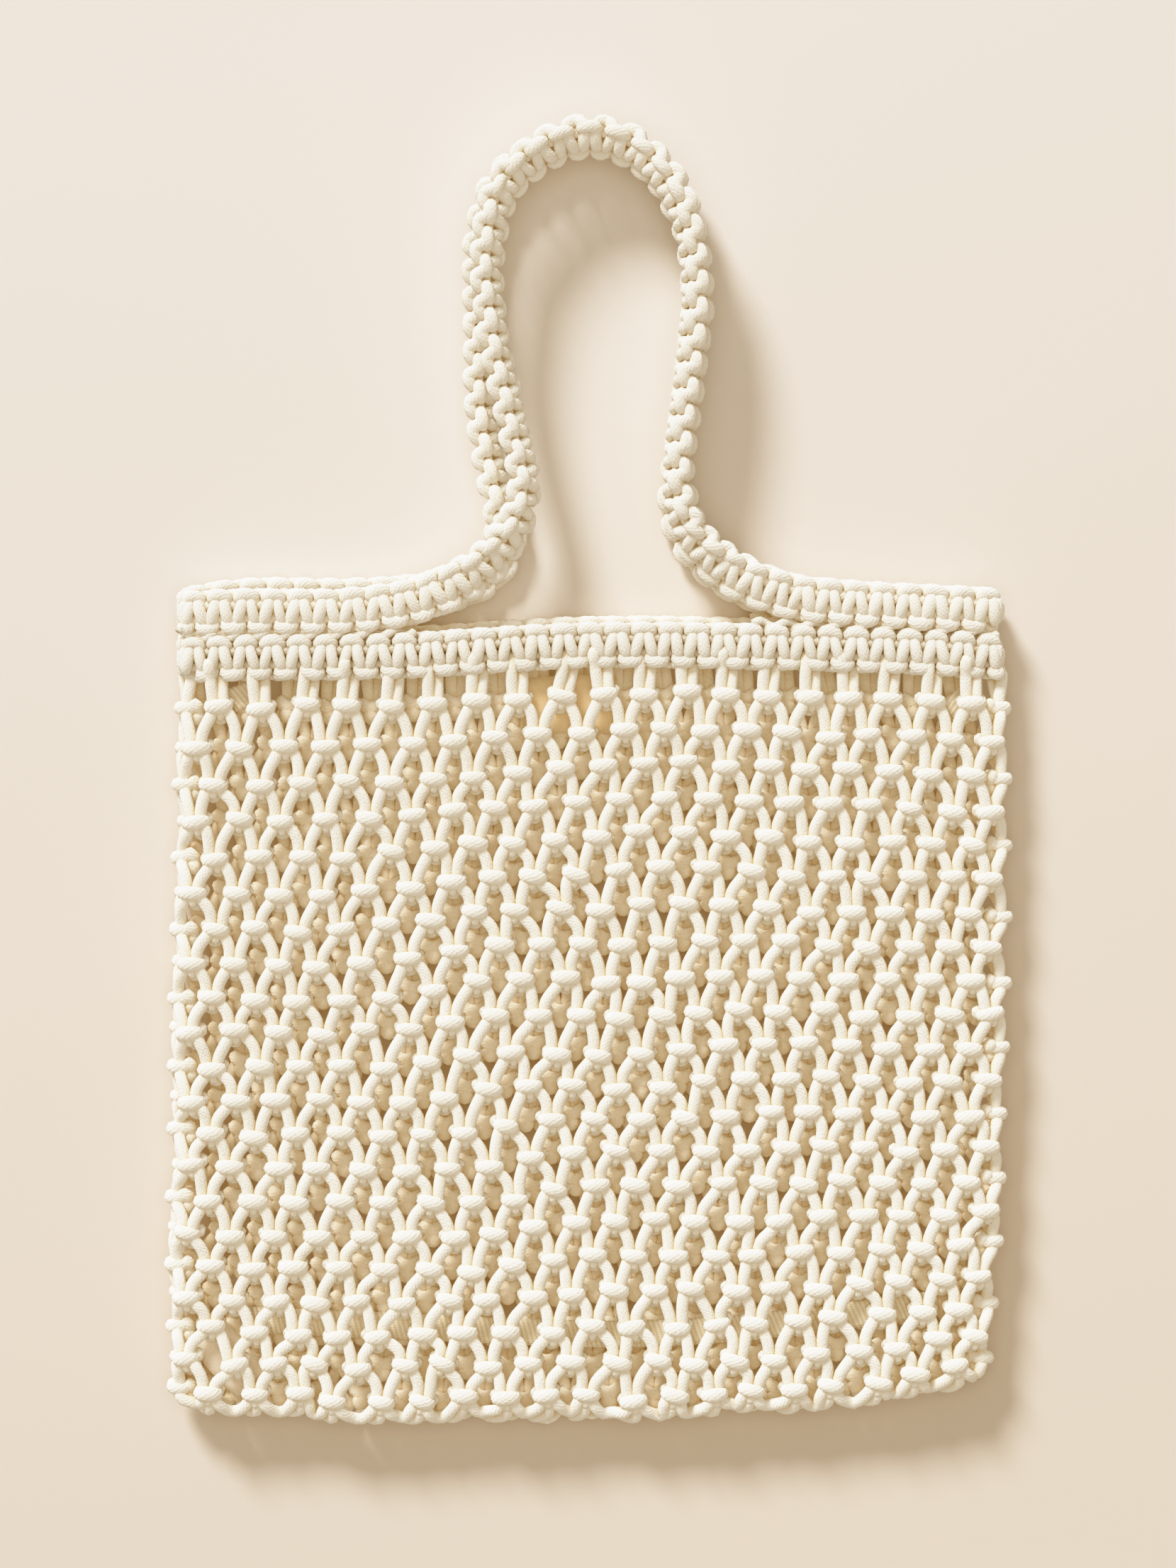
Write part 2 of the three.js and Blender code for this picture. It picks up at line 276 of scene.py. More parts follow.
# The cords that turn at a band's end, as places along and out and half the width, and the cores inside it.
BAND_ENDS = ((0.1, 0.0, 0.85), (0.34, 0.42, 1.1), (0.34, -0.42, 1.1))
END_GIRTH = np.array([0.78, 1.0, 1.1, 1.1, 1.1, 1.0, 0.78])
CORES = (-0.6, 0.6)
CORE_GIRTH = 1.02
CORE_RINGS = 4

# The lashing's way over and under in millimetres, its share of the cord's girth, and its rings in a turn.
LASHING_WEAVE = 1.3
LASHING_WIND = 1.6
LASHING_LIFT = 0.6
LASHING_GIRTH = 0.8
LASHING_RINGS = 8

# Cotton's shader, the scales of its noises, for each metre, the shares of its braid, and the samples of the
# painted shade between its cords.
COTTON_SHADER = {
    "Roughness": 0.95,
    "Diffuse Roughness": 1.0,
    "Specular IOR Level": 0.1,
    "Sheen Weight": 0.1,
    "Sheen Roughness": 0.6,
}
WOBBLE_SCALE = 260
WOBBLE = 5.0
CROSSING = 0.45
FIBRE_SCALE = 1000
FIBRE_DETAIL = 3
BRAID_HEIGHT = 0.16
COTTON_BUMP = 0.75
COTTON_RELIEF = 0.6 * MM
PATCH_SCALE = 60
BRAID_TONE = 0.12
LEAST_TONE = 0.1
PAINTED_SHADE_SAMPLES = 3

# The woven pieces' threads: slant of the ribs, threads across, and how they raise and shade the cloth.
RIB_SLANT = 0.3
THREADS = 2
THREAD_SHARE = 0.4
CLOTH_BUMP = 0.5
CLOTH_RELIEF = 0.3 * MM
WEAVE_TONE = 0.3
MIDDLE_TONE = 0.5

# Cloths as the share of light left between threads, the size of a rib, and the roughness.
Cloth = namedtuple("Cloth", "shade rib roughness")
TWILL = Cloth(shade=0.62, rib=2.2 * MM, roughness=0.9)
LABEL_WEAVE = Cloth(shade=0.9, rib=0.6 * MM, roughness=0.6)
SATIN_WEAVE = Cloth(shade=0.92, rib=0.5 * MM, roughness=0.45)

# Woven strips in millimetres: the line that each one lies along, its width, height, thickness and wave.
Strip = namedtuple("Strip", "line width lift thickness wave")
SEAM_LINE = ((-158, -247), (-70, -251), (20, -254), (80, -250), (158, -240))
INSIDE_TAPE = Strip(SEAM_LINE, width=12, lift=14.5, thickness=0.9, wave=0.5)
TAPE_ENDS = {
    "left_tape_end": Strip(((-162, 33), (-148, 39)), width=11, lift=15, thickness=0.9, wave=0.5),
    "right_tape_end": Strip(((164, 36), (173, 24)), width=11, lift=15, thickness=0.9, wave=0.5),
}
TOP_LABEL = Strip(((-30, 29), (-9, 32), (12, 31)), width=26, lift=14.5, thickness=0.5, wave=1.2)
SIDE_LABEL = Strip(((-172, -254), (-162, -266), (-152, -276)), width=20, lift=15, thickness=0.4, wave=1.4)

# A strip's mesh, and its wave: turns along and across, and how it grows from the middle to the edges.
STRIP_COLUMNS = 7
LEAST_STRIP_ROWS = 8
WAVE_ALONG = 9
WAVE_ACROSS = 4
WAVE_MIDDLE = 0.35
WAVE_EDGE = 2

# The studio in metres, watts and degrees, with the sensor and the photograph's rows in millimetres.
FLOOR_HALF = 4
FLOOR_ROUGHNESS = 0.9
# The floor's painted light falloff: its way away from the window and its share in the middle.
FLOOR_PAINTED_FALLOFF = (0.3, -1.4, 0)
FLOOR_FALLOFF_MIDDLE = 0.5
AIR_COLOUR = (1.0, 0.96, 0.92)
AIR_STRENGTH = 0.36
WINDOW_COLOUR = (1.0, 0.985, 0.96)
Window = namedtuple("Window", "name floor_state strength spread aim")
WINDOWS = (
    Window("window_on_floor", "INCLUDE", strength=2.95, spread=15, aim=(0.4, -0.76, -0.51)),
    Window("window_on_bag", "EXCLUDE", strength=2.15, spread=18, aim=(0.37, -0.69, -0.62)),
)
CEILING_POWER = 12
CEILING_WIDTH = 1.8
CEILING_HEIGHT = 2.3
CAMERA_PLACE = (-0.0003, -0.0046)
CAMERA_HEIGHT = 2.0
NET_TOP = 0.022
SENSOR_HEIGHT = 36
PHOTO_ROWS = 2212
MM_PER_ROW = 0.32
BOUNCES = 16
DIFFUSE_BOUNCES = 12

# Levels at which the print's curves are set, and the brightest light that they still tell apart.
PRINT_LEVELS = (0.05, 0.12, 0.25, 0.45, 0.7)
PRINT_BRIGHTEST = 1.6


def smoothstep(low, high, value):
    """A smooth step from 0 at the low value to 1 at the high one."""
    share = np.clip((value - low) / (high - low), 0, 1)
    return share * share * (3 - 2 * share)


def unit(vectors):
    """Vectors made one long."""
    return vectors / np.linalg.norm(vectors, axis=-1, keepdims=True)


def turned(first, second, angle):
    """Two directions turned together, the first towards the second."""
    return first * np.cos(angle) + second * np.sin(angle), second * np.cos(angle) - first * np.sin(angle)


def distances(points):
    """How far along its own run each point lies."""
    steps = np.linalg.norm(np.diff(points, axis=-2), axis=-1)
    start = np.zeros(steps.shape[:-1] + (1,))
    return np.concatenate([start, np.cumsum(steps, axis=-1)], axis=-1)


def read_along(at, along, values):
    """Points or directions of a path, read at distances along it."""
    return np.stack([np.interp(at, along, values[:, axis]) for axis in range(3)], axis=-1)


def arc(three, share):
    """A smooth arc through the start, middle and end values of a short table."""
    start, middle, end = three
    bow = 4 * share * (1 - share) * (middle - (start + end) / 2)
    return start + (end - start) * share + bow


def spline(points, per_span):
    """A smooth curve through points, as (places along the table, points)."""
    points = np.asarray(points, float)
    first = 2 * points[0] - points[1]
    last = 2 * points[-1] - points[-2]
    held = np.vstack([first, points, last])
    share = np.linspace(0, 1, per_span, endpoint=False)[:, None]
    places, made = [], []
    for number in range(len(points) - 1):
        before, here, there, after = held[number : number + 4]
        steps = (here - before, there - here, after - there)
        gap_before, gap, gap_after = (math.sqrt(np.linalg.norm(step)) for step in steps)
        leaving = (steps[0] / gap_before - (there - before) / (gap_before + gap) + steps[1] / gap) * gap
        coming = (steps[1] / gap - (after - here) / (gap + gap_after) + steps[2] / gap_after) * gap
        made.append(
            here
            + leaving * share
            + (3 * steps[1] - 2 * leaving - coming) * share**2
            + (leaving - 2 * steps[1] + coming) * share**3
        )
        places.append(number + share[:, 0])
    made.append(points[-1:])
    places.append(np.array([len(points) - 1.0]))
    return np.concatenate(places), np.concatenate(made)


def through(points, count):
    """Count evenly spaced points on a smooth curve through a few points."""
    _, fine = spline(points, RUN_STEPS)
    along = distances(fine)
    return read_along(np.linspace(0, along[-1], count), along, fine)


def smooth_runs(runs, count):
    """Each run of a few points as count points on a smooth curve."""
    return np.stack([through(points, count) for points in runs])


def bezier(points, count):
    """Curves from four control points each, as runs by points by 3."""
    start, pull_out, pull_in, end = (points[:, place : place + 1] for place in range(4))
    share = np.linspace(0, 1, count)[None, :, None]
    rest = 1 - share
    return start * rest**3 + 3 * pull_out * share * rest**2 + 3 * pull_in * share**2 * rest + end * share**3


def copies(run, count):
    """One run of cord, count times over."""
    return run[None] * np.ones((count, 1, 1))


def vary(rng, count, amount):
    """Factors near 1, one for each run of cord."""
    return 1 + rng.normal(0, amount, count)[:, None]


def tube_points(paths, radius, sides):
    """The rings of points round each path, and the middles of its two rounded ends."""
    along = unit(np.gradient(paths, axis=1))
    level = np.abs(along[:, 0, 2:]) < STEEP
    held = unit(np.cross(along[:, 0], np.where(level, UP, RIGHT)))
    side = np.empty_like(paths)
    for ring in range(paths.shape[1]):
        held = unit(held - along[:, ring] * np.sum(held * along[:, ring], axis=1, keepdims=True))
        side[:, ring] = held
    other = np.cross(along, side)
    angle = np.arange(sides) * (2 * math.pi / sides)
    turn = side[:, :, None] * np.cos(angle)[:, None] + other[:, :, None] * np.sin(angle)[:, None]
    tube = paths[:, :, None] + turn * radius[:, :, None, None]
    foot = paths[:, 0] - along[:, 0] * radius[:, :1] * END_BULGE
    head = paths[:, -1] + along[:, -1] * radius[:, -1:] * END_BULGE
    return tube, np.stack([foot, head], axis=1)


class CordMesh:
    """Many runs of cord gathered as arrays and made into one mesh, with a map along and round the cord."""

    def __init__(self):
        self.points, self.loops, self.sizes, self.maps = [], [], [], []
        self.count = 0

    def add(self, paths, radius, sides):
        """Adds round-ended tubes along paths, runs by points by 3, with one radius or one per point."""
        paths = np.asarray(paths, float)
        runs, rings, _ = paths.shape
        evened = 2 / (1 + math.cos(math.pi / sides))
        radius = np.broadcast_to(np.asarray(radius, float) * evened, (runs, rings))
        length = distances(paths)
        tube, ends = tube_points(paths, radius, sides)
        points = np.concatenate([tube.reshape(runs, -1, 3), ends], axis=1)
        first = self.count + np.arange(runs)[:, None] * points.shape[1]
        self.add_walls(first, length, sides)
        self.add_caps(first, length, sides)
        self.points.append(points.reshape(-1, 3))
        self.count += points.shape[0] * points.shape[1]

    def add_walls(self, first, length, sides):
        """Adds the faces between the rings, from each run's first point and its distances along."""
        rings = length.shape[1]
        ring, spoke = np.meshgrid(np.arange(rings - 1), np.arange(sides), indexing="ij")
        low, high = ring * sides, (ring + 1) * sides
        after = (spoke + 1) % sides
        corners = (low + spoke, low + after, high + after, high + spoke)
        quads = np.stack([first[:, :, None] + corner for corner in corners], axis=-1)
        start, end = length[:, ring], length[:, ring + 1]
        here = np.broadcast_to(spoke / sides, start.shape)
        there = np.broadcast_to((spoke + 1) / sides, start.shape)
        pairs = ((start, here), (start, there), (end, there), (end, here))
        self.add_faces(quads, np.stack([np.stack(pair, axis=-1) for pair in pairs], axis=-2))

    def add_caps(self, first, length, sides):
        """Adds the faces that close both ends of each run."""
        rings = length.shape[1]
        spokes = np.arange(sides)
        nexts = (spokes + 1) % sides
        top = (rings - 1) * sides
        foot = np.full(sides, rings * sides)
        bottom_cap = np.stack([first + nexts, first + spokes, first + foot], axis=-1)
        top_cap = np.stack([first + top + spokes, first + top + nexts, first + foot + 1], axis=-1)
        caps = np.concatenate([bottom_cap, top_cap], axis=1)
        maps = np.zeros(caps.shape + (2,))
        maps[:, :, 0, 1] = np.tile((spokes + 1) / sides, 2)
        maps[:, :, 1, 1] = np.tile(spokes / sides, 2)
        maps[:, sides:, :, 0] = length[:, -1][:, None, None]
        self.add_faces(caps, maps)

    def add_faces(self, corners, maps):
        """Adds faces that have equally many corners, and the places of the corners on the map."""
        count = corners.shape[-1]
        self.loops.append(corners.reshape(-1))
        self.sizes.append(np.full(corners.size // count, count))
        self.maps.append(maps.reshape(-1, 2))

    def make(self, name, material):
        """Makes the mesh and its object, smooth shaded, with its map in metres along and turns round."""
        loops = np.concatenate(self.loops)
        sizes = np.concatenate(self.sizes)
        points = np.concatenate(self.points)
        points[:, 2] = np.maximum(points[:, 2], 0)
        mesh = bpy.data.meshes.new(name)
        mesh.vertices.add(self.count)
        mesh.vertices.foreach_set("co", points.astype(np.float32).ravel())
        mesh.loops.add(len(loops))
        mesh.loops.foreach_set("vertex_index", loops.astype(np.int32))
        mesh.polygons.add(len(sizes))
        mesh.polygons.foreach_set("loop_start", (np.cumsum(sizes) - sizes).astype(np.int32))
        layer = mesh.uv_layers.new(name="cord")
        layer.uv.foreach_set("vector", np.concatenate(self.maps).astype(np.float32).ravel())
        mesh.update(calc_edges=True)
        mesh.shade_smooth()
        mesh.materials.append(material)
        piece = bpy.data.objects.new(name, mesh)
        bpy.context.collection.objects.link(piece)
        return piece


def dress(piece, slot, *nodes):
    """A finished piece rides on the bag's one body and stands for its CAD nodes, if it has any."""
    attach(piece, "root")
    if nodes:
        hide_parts(*nodes)


def flat_band(open_z, side_z, rise):
    """The rim's table, raised a little, with one height in the open and one at the bag's two sides."""
    last = len(RIM) - 1
    return [(x, y + rise, side_z if place in (0, last) else open_z, 0) for place, (x, y) in enumerate(RIM)]


class Band:
    """The path of one knotted band, which places points given along, across and out of its face."""

    def __init__(self, table):
        table = np.array(table, float)
        places, line = spline(np.column_stack([table[:, :2], np.zeros(len(table))]), BAND_STEPS)
        row = np.minimum(places.astype(int), len(table) - 2)
        eased = smoothstep(0, 1, places - row)[:, None]
        here, there = table[row, 2:], table[row + 1, 2:]
        height, twist = np.split(here + (there - here) * eased, 2, axis=1)
        twist = np.radians(twist)
        along = unit(np.gradient(line, axis=0))
        outward = np.stack([-along[:, 1], along[:, 0], np.zeros(len(line))], axis=1)
        self.across = outward * np.cos(twist) + UP * np.sin(twist)
        self.facing = -outward * np.sin(twist) + UP * np.cos(twist)
        self.middle = line + UP * height
        self.along = distances(self.middle)
        self.length = self.along[-1]

    def put(self, local):
        """Places an array of (along, across, out) in millimetres, and gives metres."""
        paths = (self.middle, self.across, self.facing)
        middle, across, facing = (read_along(local[..., 0], self.along, path) for path in paths)
        return (middle + across * local[..., 1:2] + facing * local[..., 2:3]) * MM


def wander(x, y, waves):
    """Slow waves over the net, from their lengths in x and y."""
    return sum(np.sin(x / x_length + y / y_length) for x_length, y_length in waves)


class Net:
    """The net's middle surface: a flat sleeve with rounded sides, which places the knots."""

    def __init__(self, size, rng):
        self.size = size
        self.rim = Band(flat_band(size.front_z, size.side_z, 0))
        self.rng = rng
        self.round = (size.front_z - size.back_z) / 2
        self.middle_z = (size.front_z + size.back_z) / 2
        self.around = size.columns * 2

    def place(self, column, row):
        """Points and outward normals, in millimetres, of columns round the bag in one of its rows."""
        size = self.size
        column = np.mod(column, self.around)
        behind = column > size.columns
        across = np.where(behind, self.around - column, column) / size.columns
        bow = 4 * across * (1 - across)
        aside = behind * bow**SIDE_EASE
        warped = across + size.drift * bow + size.back_shift * aside
        down = (row - 1) / (size.rows - 1)
        left = arc(NET_LEFT, down) + size.wall / 2
        right = arc(NET_RIGHT, down) - size.wall / 2
        quarter = math.pi * self.round / 2
        girth = (right - left) - 2 * self.round + 2 * quarter
        at = warped * girth
        from_side = np.minimum(at, girth - at)
        turn = np.clip(from_side / self.round, 0, math.pi / 2)
        inset = self.round * (1 - np.cos(turn)) + np.maximum(from_side - quarter, 0)
        x = np.where(at < girth / 2, left + inset, right - inset)
        towards = np.where(at < girth / 2, -1.0, 1.0)
        side = np.where(behind, -1.0, 1.0)
        sag = size.sag * np.sin(np.pi * across) * np.sin(np.pi * down) * ~behind
        z = self.middle_z + side * self.round * np.sin(turn) - sag

        share = (x - left) / (right - left)
        top = np.interp(x, self.rim.middle[:, 0], self.rim.middle[:, 1]) - size.hang
        bottom = arc(NET_BOTTOM, share) + size.wall / 2 + self.round
        droop = np.sin(np.pi * down) ** DROOP_EASE
        slip = size.left_slip * (1 - smoothstep(*LEFT_SLIP_SPAN, share))
        slip = slip + size.right_slip * smoothstep(*RIGHT_SLIP_SPAN, share)
        y = top + (bottom - top) * down - (slip - size.back_rise * aside) * droop

        still = np.sin(np.pi * down) * np.sin(np.pi * np.clip(share, 0, 1))
        moved_x = x + size.sway * wander(x, y, WAVES_ACROSS) * still
        moved_y = y + size.sway * wander(x, y, WAVES_DOWN) * still
        normal = np.stack([towards * np.cos(turn), np.zeros_like(x), side * np.sin(turn)], axis=-1)
        return np.stack([moved_x, moved_y, z], axis=-1), normal

    def knots(self, columns, row):
        """The knots of one row: their middles and their across, up and out directions, each its own."""
        count = len(columns)
        middle, out = self.place(columns, row)
        up = np.broadcast_to(UP_THE_BAG, out.shape)
        across = unit(np.cross(up, out))
        pulled = 1 + PULL * smoothstep(PULL_START, 1, row / self.size.rows)
        tilt = self.rng.normal(0, self.size.tilt, count)[:, None] * pulled
        lean = self.rng.normal(0, self.size.tilt, count)[:, None]
        stray = self.rng.normal(0, self.size.stray, (count, 3)) * pulled
        middle = middle + across * stray[:, :1] + up * stray[:, 1:2] + out * stray[:, 2:] * STRAY_OUT
        across, up = turned(across, up, tilt)
        across, out = turned(across, out, lean)
        return {"middle": middle, "across": across, "up": up, "out": out}


def pick(knots, keep):
    """Some of the knots."""
    return {name: values[keep] for name, values in knots.items()}


def knots_below(columns, below, keep):
    """The next row's knots at the lower left and the lower right of the kept ones."""
    around = len(columns)
    right = np.arange(around) + int(columns[0] > 0)
    return pick(below, np.mod(right - 1, around)[keep]), pick(below, np.mod(right, around)[keep])


def place_on(knots, offsets, cord):
    """Places offsets in cord diameters, the same for all knots or one set each, and gives metres."""
    offsets = np.asarray(offsets, float) * cord
    if offsets.ndim == 2:
        offsets = np.broadcast_to(offsets, (len(knots["middle"]),) + offsets.shape)
    placed = knots["middle"][:, None]
    for axis, name in enumerate(("across", "up", "out")):
        placed = placed + knots[name][:, None] * offsets[:, :, axis : axis + 1]
    return placed * MM


def add_knots(knots, mesh, cord, rng):
    """Ties the knots: a bar across the front, a tucked tab under it, and the crossing and knob behind."""
    count = len(knots["middle"])
    radius = cord / 2 * MM
    bar = copies(through(KNOT_BAR, len(BAR_GIRTH)), count)
    bar[:, :, 0] *= vary(rng, count, BAR_LENGTH_VARY)
    mesh.add(place_on(knots, bar, cord), radius * BAR_GIRTH * vary(rng, count, BAR_GIRTH_VARY), SIDES)
    for table, girth, sides in (
        (KNOT_TAB, TAB_GIRTH, FEW_SIDES),
        (KNOT_SMILE, SMILE_GIRTH, FEW_SIDES),
        (KNOT_KNOB, KNOB_GIRTH, SIDES),
    ):
        mesh.add(place_on(knots, through(table, len(girth)), cord), radius * girth, sides)


def add_legs(upper, lower_left, lower_right, mesh, cord, rng):
    """The two cords from each knot down to the knots at its lower left and lower right."""
    bow = np.sin(np.linspace(0, np.pi, LEG_RINGS))[:, None] * cord * MM
    ways = ((LEFT_LEG, lower_left), (RIGHT_LEG, lower_right))
    for (leg, lower), girth in zip(ways, LEG_GIRTHS):
        ends = [place_on(upper, leg[:2], cord), place_on(lower, leg[2:], cord)]
        run = bezier(np.concatenate(ends, axis=1), LEG_RINGS)
        sway = rng.normal(0, LEG_SWAY, len(run))[:, None, None]
        mesh.add(run + upper["across"][:, None] * sway * bow, cord / 2 * MM * girth, SIDES)


def add_hangers(knots, mesh, size):
    """The pairs of cords that the top row hangs on: a bright one in front and one behind it."""
    radius = size.cord / 2 * MM
    lift = size.hang / size.cord - HANGER_SHORT

    def placed(table):
        offsets = [(across, share * lift + more, out) for across, share, more, out in table]
        return place_on(knots, offsets, size.cord)

    goes_over = (np.arange(len(knots["middle"])) % OVER_EVERY == 1)[:, None, None]
    tips = np.where(goes_over, placed(HANGER_OVER), placed(HANGER_UNDER))
    front = np.concatenate([placed(HANGER_FRONT), tips], axis=1)
    mesh.add(smooth_runs(front, HANGER_RINGS), radius, SIDES)
    mesh.add(smooth_runs(placed(HANGER_BEHIND), BEHIND_RINGS), radius * BEHIND_GIRTH, FEW_SIDES)


def add_loops(knots, mesh, cord, rng):
    """The cords that hang as loops from each last knot to the next and turn under the bottom."""
    here, there = pick(knots, slice(None, -1)), pick(knots, slice(1, None))
    low = (here["middle"] + there["middle"]) / 2 * MM
    depth = rng.normal(LOOP_DEPTH, LOOP_DEPTH_VARY, len(low))[:, None] * cord * MM
    low = low - (here["up"] + here["out"] * LOOP_TUCK) * depth
    lows = []
    for half in (-LOOP_HALF_WIDTH, LOOP_HALF_WIDTH):
        lows.append(low + (there["across"] * half + there["up"] * LOOP_RISE) * cord * MM)
    parts = [place_on(here, LOOP_START, cord), np.stack(lows, axis=1), place_on(there, LOOP_END, cord)]
    mesh.add(smooth_runs(np.concatenate(parts, axis=1), LOOP_RINGS), cord / 2 * MM, SIDES)


def add_fold(front, back, mesh, cord):
    """The cords that run round the bottom from the front's last knots to the back's."""
    low = (front["middle"] + back["middle"]) / 2 * MM - front["up"] * (FOLD_DEPTH * cord * MM)
    parts = [place_on(front, FOLD_START, cord), low[:, None], place_on(back, FOLD_END, cord)]
    mesh.add(smooth_runs(np.concatenate(parts, axis=1), FOLD_RINGS), cord / 2 * MM, SIDES)


def add_bumps(band, mesh, cord, at, face, edge, rng):
    """A row of bumps, on one face and along one edge of a band."""
    count = len(at)
    local = copies(through(BAND_BUMP, len(BUMP_GIRTH)) * [face, edge, face] + [0, edge * EDGE, 0], count)
    local[:, :, 0] *= vary(rng, count, BAND_VARY)
    local[:, :, 1] += local[:, :, 0] * rng.normal(0, BUMP_LEAN, count)[:, None]
    local = local * cord
    local[:, :, 0] = np.clip(local[:, :, 0] + at[:, None], 0, band.length)
    mesh.add(band.put(local), cord / 2 * MM * BUMP_GIRTH * vary(rng, count, BAND_VARY), SIDES)


def add_feet(band, mesh, cord, at, face, rng):
    """The slanted cords between the bumps of both edges, on one face of a band."""
    count = len(at)
    for way in (1, -1):
        local = copies(through(BAND_FOOT, len(FOOT_GIRTH)) * [way, 1, face], count) * cord
        local[:, :, 0] += local[:, :, 1] * rng.normal(0, FOOT_LEAN, count)[:, None]
        local[:, :, 0] = np.clip(local[:, :, 0] + at[:, None], 0, band.length)
        mesh.add(band.put(local), cord / 2 * MM * FOOT_GIRTH * vary(rng, count, BAND_VARY), FEW_SIDES)


def add_links(band, mesh, cord, at, edge):
    """The cords that join the bumps of both faces into a chain, along one edge of a band."""
    at = at[(at > cord) & (at < band.length - cord)]
    link = through(BAND_LINK, len(LINK_GIRTH)) * [1, edge, 1] + [0, edge * EDGE, 0]
    local = copies(link, len(at)) * cord
    local[:, :, 0] += at[:, None]
    mesh.add(band.put(local), cord / 2 * MM * LINK_GIRTH, FEW_SIDES)


def add_ends(band, mesh, cord):
    """The cords that turn across both ends of a band."""
    rings = len(END_GIRTH)
    for end, inward in ((0, cord), (band.length, -cord)):
        for along, out, half in BAND_ENDS:
            across = np.linspace(half, -half, rings) * cord
            turn = [np.full(rings, end + along * inward), across, np.full(rings, out * cord)]
            mesh.add(band.put(np.stack(turn, axis=1))[None], cord / 2 * MM * END_GIRTH, FEW_SIDES)


def add_cores(band, mesh, cord, count):
    """The straight cords inside a band."""
    line = np.linspace(0, band.length, count)
    for across in CORES:
        core = np.stack([line, np.full(count, across * cord), np.zeros(count)], axis=1)
        mesh.add(band.put(core)[None], cord / 2 * MM * CORE_GIRTH, FEW_SIDES)


def add_band(band, mesh, size, rng):
    """Knots one band: bumps, slanted cords on both faces, links along both edges, ends and cores."""
    cord = size.band_cord
    repeats = int(round(band.length / size.band_pitch))
    step = band.length / repeats
    middles = np.arange(repeats) + 0.5
    for face, late in FACES:
        start = (middles + late) * step
        for edge, shift in EDGES:
            add_bumps(band, mesh, cord, np.mod(start + shift * step, band.length), face, edge, rng)
        add_feet(band, mesh, cord, np.mod(start, band.length), face, rng)
    for edge, shift in EDGES:
        add_links(band, mesh, cord, np.mod((middles + shift) * step, band.length), edge)
    add_ends(band, mesh, cord)
    add_cores(band, mesh, cord, repeats * CORE_RINGS)


def add_lashing(rim, span, mesh, size):
    """The cord that lashes a strap to the rim: it winds over and under between their bumps."""
    along = np.interp(span, rim.middle[:, 0], rim.along)
    turns = int(round((along[1] - along[0]) / size.band_pitch))
    at = np.linspace(along[0], along[1], turns * LASHING_RINGS + 1)
    wind = np.linspace(0, turns * 2 * math.pi, len(at))
    across = size.lashing + LASHING_WEAVE * np.sin(wind)
    out = LASHING_WIND * np.cos(wind) + LASHING_LIFT
    local = np.stack([at, across, out], axis=1)
    mesh.add(rim.put(local)[None], size.band_cord / 2 * MM * LASHING_GIRTH, FEW_SIDES)


class Finish:
    """A new material, with short ways to add the nodes that feed its shader."""

    def __init__(self, name, values):
        self.material = bpy.data.materials.new(name)
        self.material.use_nodes = True
        self.nodes = self.material.node_tree.nodes
        self.links = self.material.node_tree.links
        self.shader = self.nodes["Principled BSDF"]
        for socket, value in values.items():
            self.shader.inputs[socket].default_value = value

    def feed(self, socket, value):
        """Gives a socket a plain value, or links another node's socket to it."""
        if isinstance(value, bpy.types.NodeSocket):
            self.links.new(value, socket)
        else:
            socket.default_value = value

    def calc(self, operation, *values):
        """A sum on plain values and sockets."""
        node = self.nodes.new("ShaderNodeMath")
        node.operation = operation
        for socket, value in zip(node.inputs, values):
            self.feed(socket, value)
        return node.outputs[0]

    def place(self):
        """The place of a point on its piece."""
        return self.nodes.new("ShaderNodeTexCoord").outputs["Object"]

    def map_parts(self, name):
        """The two parts of a place on one of the piece's maps."""
        uv = self.nodes.new("ShaderNodeUVMap")
        uv.uv_map = name
        parts = self.nodes.new("ShaderNodeSeparateXYZ")
        self.links.new(uv.outputs["UV"], parts.inputs[0])
        return parts.outputs[0], parts.outputs[1]

    def noise(self, place, **values):
        """Soft noise over places."""
        node = self.nodes.new("ShaderNodeTexNoise")
        self.links.new(place, node.inputs["Vector"])
        for socket, value in values.items():
            node.inputs[socket].default_value = value
        return node.outputs["Fac"]

    def mix(self, factor, low, high):
        """A colour between two colours."""
        node = self.nodes.new("ShaderNodeMix")
        node.data_type = "RGBA"
        for socket, value in (("Factor", factor), ("A", low), ("B", high)):
            self.feed(node.inputs[socket], value)
        return node.outputs["Result"]

    def bump(self, height, strength, distance):
        """Raises the shader's surface by a height."""
        node = self.nodes.new("ShaderNodeBump")
        node.inputs["Strength"].default_value = strength
        node.inputs["Distance"].default_value = distance
        self.links.new(height, node.inputs["Height"])
        self.links.new(node.outputs["Normal"], self.shader.inputs["Normal"])

    def paint(self, colour):
        """Gives the shader its colour."""
        self.links.new(colour, self.shader.inputs["Base Color"])


